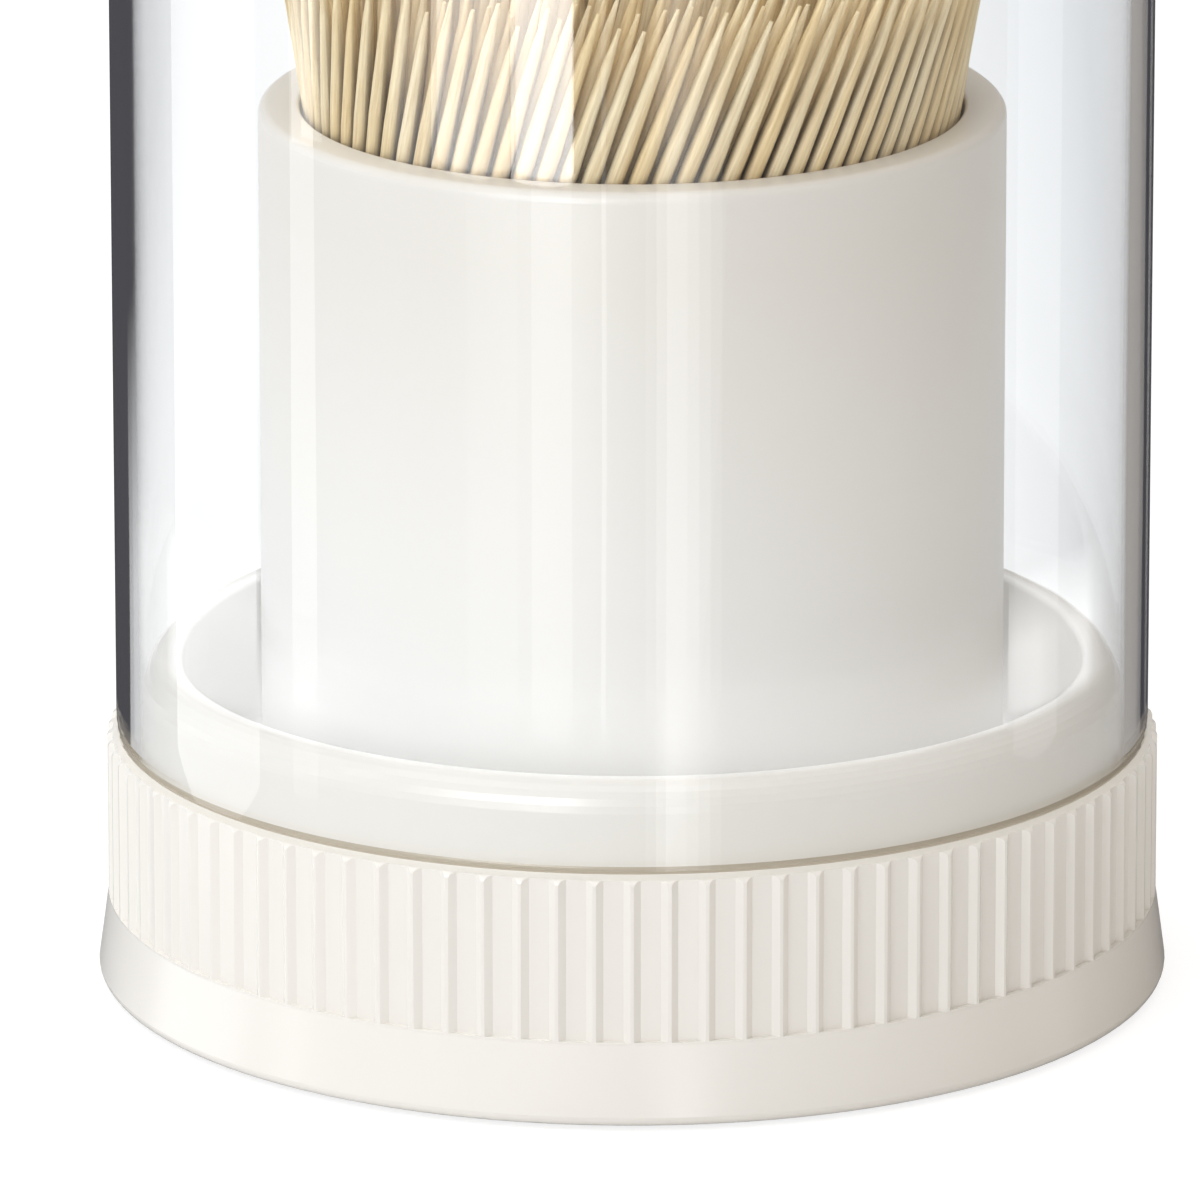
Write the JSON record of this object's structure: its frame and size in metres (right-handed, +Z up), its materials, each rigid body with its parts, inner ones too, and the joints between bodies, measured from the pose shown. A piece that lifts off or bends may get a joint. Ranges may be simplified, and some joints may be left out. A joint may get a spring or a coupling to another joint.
{
  "type": "toothpick holder",
  "caption": "Table-top toothpick holder: a ribbed base with an inner cup of pointed toothpicks and a clear lift-off cover.",
  "frame": {"origin": "on the table, under the centre of the round base", "axes": "+Z up along the axis of the cup and the cover; +X and +Y level, the holder is round about Z"},
  "size_m": [0.083, 0.083, 0.0957],
  "materials": {
    "cream_plastic": "satin gloss",
    "underside_plastic": "matte",
    "grip_rubber": "matte",
    "cup_plastic": "satin gloss",
    "clear_plastic": "clear, polished",
    "bamboo": "bare bamboo, sanded"
  },
  "bodies": {
    "base": {"base_shell": "cream_plastic", "base_plate": "underside_plastic", "non_slip_ring": "grip_rubber", "inner_cup": "cup_plastic"},
    "cover": {"clear_cover": "clear_plastic"},
    "toothpicks": {"toothpick_row_1": "bamboo", "toothpick_row_2": "bamboo", "toothpick_row_3": "bamboo", "toothpick_row_4": "bamboo", "toothpick_row_5": "bamboo", "toothpick_row_6": "bamboo", "toothpick_row_7": "bamboo", "toothpick_row_8": "bamboo"}
  },
  "joints": [
    {"name": "cover_lift", "type": "slide", "parent": "base", "child": "cover", "axis": [0, 0, 1], "range_m": [0, 0.075]},
    {"name": "toothpicks_rise", "type": "slide", "parent": "base", "child": "toothpicks", "axis": [0, 0, 1], "range_m": [0, 0.0045]}
  ]
}
